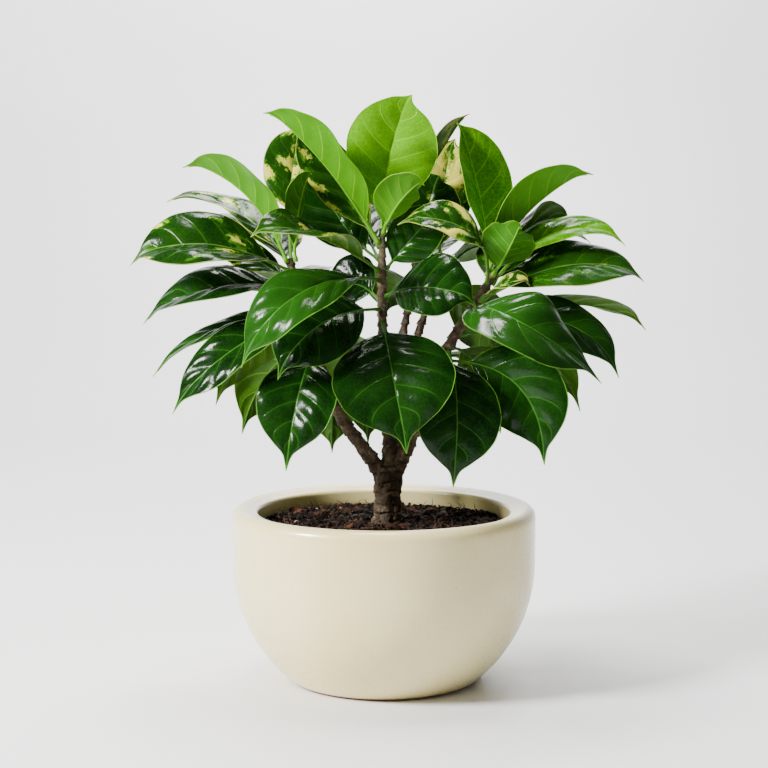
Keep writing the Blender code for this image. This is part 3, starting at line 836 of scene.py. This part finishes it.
def make_soil():
    top, walls = soil_profile()
    outline = finer(top, 0.0016) + walls
    edge = top[-1][0]

    def shift(point):
        on_top = point.z > top[-1][1] - 0.0005
        return Vector((0, 0, soil_noise(point))) if on_top else Vector()

    soil = turned("potting_soil", outline, SOIL_STEPS, shift)
    n = Nodes("potting_soil", Specular_IOR_Level=0.10)
    place = n.place()
    grain = n.noise(place, 260.0, 6.0, 0.7)
    colour = n.mix(n.step(grain, 0.35, 0.7), (0.0018, 0.0011, 0.0008), (0.011, 0.0055, 0.003))
    rough = n.step(n.noise(place, 90.0), 0.3, 0.7, 0.80, 0.97)
    bumps = n.math("ADD", grain, n.noise(place, 900.0, 4.0, 0.7))
    soil.data.materials.append(n.finish(colour, rough, n.bump(bumps, 0.0015, 1.0)))
    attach(soil, "root")
    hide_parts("soil")

    draw = random.Random(11)
    trunk_low, trunk_high = 0.0150, edge - 0.0015

    def spot():
        r = math.sqrt(draw.uniform(trunk_low**2, trunk_high**2))
        a = draw.uniform(0, math.tau)
        return r * math.cos(a), r * math.sin(a)

    def bits(name, count, low, high, flat, subdivisions, sink, shades):
        points, faces, tints = [], [], []
        ball = bmesh.new()
        bmesh.ops.create_icosphere(ball, subdivisions=subdivisions, radius=1.0)
        shape = [v.co.copy() for v in ball.verts]
        sides = [[v.index for v in f.verts] for f in ball.faces]
        ball.free()
        for _ in range(count):
            x, y = spot()
            size = low + (high - low) * draw.random() ** 2.2
            stretch = Vector(
                (size * draw.uniform(0.8, 1.6), size * draw.uniform(0.5, 1.0), size * flat)
            )
            turn = Euler((draw.gauss(0, 0.35), draw.gauss(0, 0.35), draw.uniform(0, math.tau)))
            turn = turn.to_matrix()
            base = Vector((x, y, soil_top(x, y, top) + stretch.z * (1 - sink)))
            seed = Vector((draw.uniform(0, 99), 0, 0))
            tint = draw.choice(shades) + draw.uniform(-0.06, 0.06)
            start = len(points)
            for p in shape:
                knobbly = 1 + 0.45 * noise.noise(p * 1.9 + seed)
                local = Vector(c * d for c, d in zip(p * knobbly, stretch))
                points.append(base + turn @ local)
                tints.append(tint)
            faces += [[i + start for i in side] for side in sides]
        piece = new_piece(name, points, faces)
        store(piece.data, "tint", tints)
        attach(piece, "root")
        return piece

    wood = Nodes("bark_chips", Specular_IOR_Level=0.15)
    place = wood.place()
    tint = wood.attribute("tint", "Fac")
    grain = wood.noise(place, 420.0, 5.0, 0.7)
    colour = wood.mix(wood.step(tint, 0.2, 0.8), (0.003, 0.0016, 0.0010), (0.072, 0.020, 0.007))
    colour = wood.mix(wood.step(grain, 0.50, 0.80, 0.0, 0.5), colour, (0.085, 0.032, 0.013))
    chip = wood.finish(colour, wood.step(grain, 0.3, 0.7, 0.62, 0.88), wood.bump(grain, 0.0008))
    chips = bits("bark_chips", CHIP_COUNT, 0.0012, 0.0050, 0.40, 2, 0.45, (0.1, 0.3, 0.5, 0.9))
    chips.data.materials.append(chip)

    dark = Nodes("peat_crumbs", Specular_IOR_Level=0.10)
    place = dark.place()
    tint = dark.attribute("tint", "Fac")
    grain = dark.noise(place, 700.0, 4.0, 0.7)
    colour = dark.mix(dark.step(tint, 0.1, 0.9), (0.0014, 0.0009, 0.0007), (0.013, 0.006, 0.003))
    crumb = dark.finish(colour, dark.step(grain, 0.3, 0.7, 0.8, 0.97), dark.bump(grain, 0.0006))
    crumbs = bits("peat_crumbs", CRUMB_COUNT, 0.0005, 0.0022, 0.8, 1, 0.35, (0.1, 0.3, 0.5, 0.8))
    crumbs.data.materials.append(crumb)

    pale = Nodes("pale_grit", Specular_IOR_Level=0.4)
    grain = pale.noise(pale.place(), 500.0, 4.0, 0.6)
    colour = pale.mix(pale.step(grain, 0.35, 0.65), (0.34, 0.24, 0.15), (0.58, 0.48, 0.36))
    grit_material = pale.finish(colour, pale.step(grain, 0.3, 0.7, 0.6, 0.8), pale.bump(grain, 0.0005))
    grit = bits("pale_grit", PALE_COUNT, 0.0009, 0.0021, 0.7, 2, 0.3, (0.5,))
    grit.data.materials.append(grit_material)

    points, faces = [], []
    for _ in range(FIBRE_COUNT):
        x, y = spot()
        heading = draw.uniform(0, math.tau)
        bend = draw.uniform(-1.5, 1.5)
        length = draw.uniform(0.006, 0.018)
        rise = draw.choice((0, 0.002, 0.005, 0.008))
        path = []
        for k in range(9):
            lift = 0.0009 + 0.0008 * math.sin(k * 1.3) + rise * (k / 8) ** 2
            path.append((x, y, soil_top(x, y, top) + lift))
            x += math.cos(heading + bend * k / 8) * length / 8
            y += math.sin(heading + bend * k / 8) * length / 8
        if not trunk_low < math.hypot(x, y) < trunk_high:
            continue
        strand, strand_faces = tube(path, np.linspace(0.00048, 0.00014, 9), 5)
        faces += [tuple(i + len(points) for i in face) for face in strand_faces]
        points += strand.tolist()
    fibres = new_piece("coir_fibres", points, faces)
    hair = Nodes("coir_fibres", Specular_IOR_Level=0.3)
    tone = hair.noise(hair.place(), 60.0)
    colour = hair.mix(hair.step(tone, 0.35, 0.65), (0.006, 0.003, 0.002), (0.085, 0.036, 0.015))
    rough = hair.step(tone, 0.3, 0.7, 0.6, 0.8)
    grain = hair.noise(hair.place(), 1500.0, 3.0)
    fibres.data.materials.append(hair.finish(colour, rough, hair.bump(grain, 0.0003)))
    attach(fibres, "root")


# Stem.
STEM_VOXEL = 0.00080
BARK_DEPTH = 0.0019
CRACK_PITCH = 0.0075
SCAR_PITCH = 0.0078
OLD_BARK_TOP, OLD_BARK_FADE = 0.215, 0.050
YOUNG_FROM, YOUNG_TO = 0.325, 0.375


def remeshed(name, voxel):
    """The CAD node's shape as an even fine mesh."""
    points, triangles = welded(name)
    mesh = bpy.data.meshes.new("coarse")
    mesh.from_pydata(points.tolist(), [], triangles.tolist())
    holder = bpy.data.objects.new("coarse", mesh)
    bpy.context.scene.collection.objects.link(holder)
    even = holder.modifiers.new("even", "REMESH")
    even.mode = "VOXEL"
    even.voxel_size = voxel
    soft = holder.modifiers.new("soft", "SMOOTH")
    soft.factor = 0.6
    soft.iterations = 3
    graph = bpy.context.evaluated_depsgraph_get()
    result = bpy.data.meshes.new_from_object(holder.evaluated_get(graph))
    bpy.data.objects.remove(holder, do_unlink=True)
    return result


def bark_height(point, old):
    """Height of the bark as a share of its relief, and how far a place lies down a crack."""
    warped = point + noise.noise_vector(point * 80) * 0.0022
    x, y, z = warped
    furrow = 1 - min(1.0, abs(noise.noise(Vector((x * 260, y * 260, z * 75)))) / 0.11)
    band = z / CRACK_PITCH + 0.6 * noise.noise(point * 45)
    gash = 1 - min(1.0, abs(band - round(band)) / 0.16)
    gash *= min(1.0, max(0.0, 3 * noise.noise(Vector((x * 130, y * 130, z * 90))) + 0.35))
    crack = max(0.75 * furrow, gash) * old
    plates = 0.7 * noise.noise(warped * 170) + 0.35 * noise.noise(point * 480)
    turn = point.z / SCAR_PITCH + 0.25 * noise.noise(point * 25) + 3 * point.x
    scar = (1 - turn % 1) ** 2 * (1 - 0.8 * old)
    return plates * (0.45 + 0.55 * old) - 1.0 * crack + 1.5 * scar, crack


def make_stem():
    mesh = remeshed("woody_stem", STEM_VOXEL)
    mesh.shade_smooth()
    mesh.update()
    normals = [v.normal.copy() for v in mesh.vertices]
    cracks, youths = [], []
    for vertex, normal in zip(mesh.vertices, normals):
        point = vertex.co.copy()
        old = min(1.0, max(0.25, (OLD_BARK_TOP - point.z) / OLD_BARK_FADE))
        height, crack = bark_height(point, old)
        vertex.co = point + normal * height * BARK_DEPTH * (0.45 + 0.55 * old)
        cracks.append(crack)
        youths.append(min(1.0, max(0.0, (point.z - YOUNG_FROM) / (YOUNG_TO - YOUNG_FROM))))
    mesh.update()
    stem = bpy.data.objects.new("bark_stem", mesh)
    bpy.context.scene.collection.objects.link(stem)
    store(mesh, "crack", cracks)
    store(mesh, "youth", youths)
    n = Nodes("cracked_bark", Specular_IOR_Level=0.3)
    place = n.place()
    crack = n.attribute("crack", "Fac")
    youth = n.attribute("youth", "Fac")
    cloud = n.noise(place, 70.0, 5.0, 0.65)
    grain = n.noise(place, 520.0, 5.0, 0.7)
    colour = n.mix(n.step(cloud, 0.32, 0.68), (0.022, 0.013, 0.006), (0.125, 0.084, 0.042))
    grey = n.step(n.noise(place, 160.0, 4.0, 0.6), 0.50, 0.70, 0.0, 0.75)
    colour = n.mix(grey, colour, (0.280, 0.215, 0.135))
    amber = n.step(n.noise(place, 230.0, 2.0), 0.62, 0.72, 0.0, 0.5)
    colour = n.mix(amber, colour, (0.190, 0.075, 0.014))
    colour = n.mix(n.step(grain, 0.35, 0.7, 0.6, 0.0), colour, (0.014, 0.007, 0.003))
    # The cracks are painted near-black: painted shade down in them, on top of their carved depth.
    colour = n.mix(n.step(crack, 0.15, 0.8, 0.0, 0.95), colour, (0.004, 0.002, 0.001))
    green = n.mix(n.step(grain, 0.3, 0.7), (0.020, 0.045, 0.012), (0.075, 0.130, 0.035))
    colour = n.mix(n.math("MULTIPLY", youth, 0.85), colour, green)
    rough = n.step(grain, 0.3, 0.7, 0.66, 0.90)
    relief = n.math("ADD", grain, n.math("MULTIPLY", cloud, 0.6))
    stem.data.materials.append(n.finish(colour, rough, n.bump(relief, 0.0008, 0.8)))
    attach(stem, "root")
    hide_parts("woody_stem")


# Studio: a pale sheet that lies flat under the plant and sweeps up behind it, a soft key light at
# the upper left, a lamp overhead, and one that washes the sheet behind.
SHEET_HALF_WIDTH = 3.6
SHEET_FRONT_Y = -4.0
SWEEP_START_Y = 1.5
SWEEP_RADIUS = 0.7
SHEET_TOP_Z = 2.6
SWEEP_STEPS = 20
SHEET_COLOUR = (0.83, 0.84, 0.85)
CAMERA_PLACE = (0.0, -1.37, 0.37)
CAMERA_PITCH = 5.61
CAMERA_LENS = 81.6


def make_sheet():
    profile = [(SHEET_FRONT_Y, 0.0), (-1.0, 0.0), (0.0, 0.0), (1.0, 0.0)]
    for k in range(SWEEP_STEPS + 1):
        turn = math.pi / 2 * k / SWEEP_STEPS
        out, up = math.sin(turn), 1 - math.cos(turn)
        profile.append((SWEEP_START_Y + SWEEP_RADIUS * out, SWEEP_RADIUS * up))
    profile.append((SWEEP_START_Y + SWEEP_RADIUS, SHEET_TOP_Z))
    points = [(x, y, z) for y, z in profile for x in (-SHEET_HALF_WIDTH, 0.0, SHEET_HALF_WIDTH)]
    sheet = new_piece("studio_sheet", points, grid_faces(len(profile), 3))
    n = Nodes("pale_sheet")
    fine = n.noise(n.place(), 40.0, 3.0)
    colour = n.mix(n.step(fine, 0.3, 0.7, 0.0, 0.03), SHEET_COLOUR, (0.76, 0.76, 0.77))
    sheet.data.materials.append(n.finish(colour, n.step(fine, 0.3, 0.7, 0.38, 0.46)))


def area_light(name, place, target, size, power, colour):
    data = bpy.data.lights.new(name, "AREA")
    data.shape = "DISK"
    data.size = size
    data.energy = power
    data.color = colour
    light = bpy.data.objects.new(name, data)
    light.location = place
    heading = Vector(target) - Vector(place)
    light.rotation_euler = heading.to_track_quat("-Z", "Y").to_euler()
    bpy.context.scene.collection.objects.link(light)


def make_studio():
    make_sheet()
    area_light("key", (-1.45, -0.75, 1.15), (0, 0, 0.20), 0.50, 118, (1.0, 0.99, 0.97))
    area_light("overhead", (-0.1, 0.20, 1.50), (0, 0, 0.3), 0.45, 24, (1.0, 0.97, 0.91))
    area_light("wash", (0.0, 0.9, 2.3), (0, 2.2, 0.9), 1.0, 78, (1.0, 0.99, 0.98))
    area_light("glow", (0.0, 1.70, 1.45), (0, 2.2, 0.85), 0.25, 12, (1.0, 0.98, 0.93))
    world = bpy.data.worlds.new("studio")
    world.use_nodes = True
    background = world.node_tree.nodes["Background"]
    background.inputs["Color"].default_value = (0.94, 0.96, 1.0, 1.0)
    background.inputs["Strength"].default_value = 0.17
    bpy.context.scene.world = world
    data = bpy.data.cameras.new("camera")
    data.lens = CAMERA_LENS
    camera = bpy.data.objects.new("camera", data)
    camera.location = CAMERA_PLACE
    camera.rotation_euler = (math.radians(90 - CAMERA_PITCH), 0, 0)
    bpy.context.scene.collection.objects.link(camera)
    bpy.context.scene.camera = camera


def make_leaves():
    materials = {}
    for kind in TONE:
        materials[kind, "top"] = leaf_top(kind)
        materials[kind, "under"] = leaf_under(kind)
    for name in sorted(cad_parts):
        if "_leaf_" in name:
            Leaf(name).make(materials)


make_pot()
make_soil()
make_stem()
make_leaves()
make_studio()
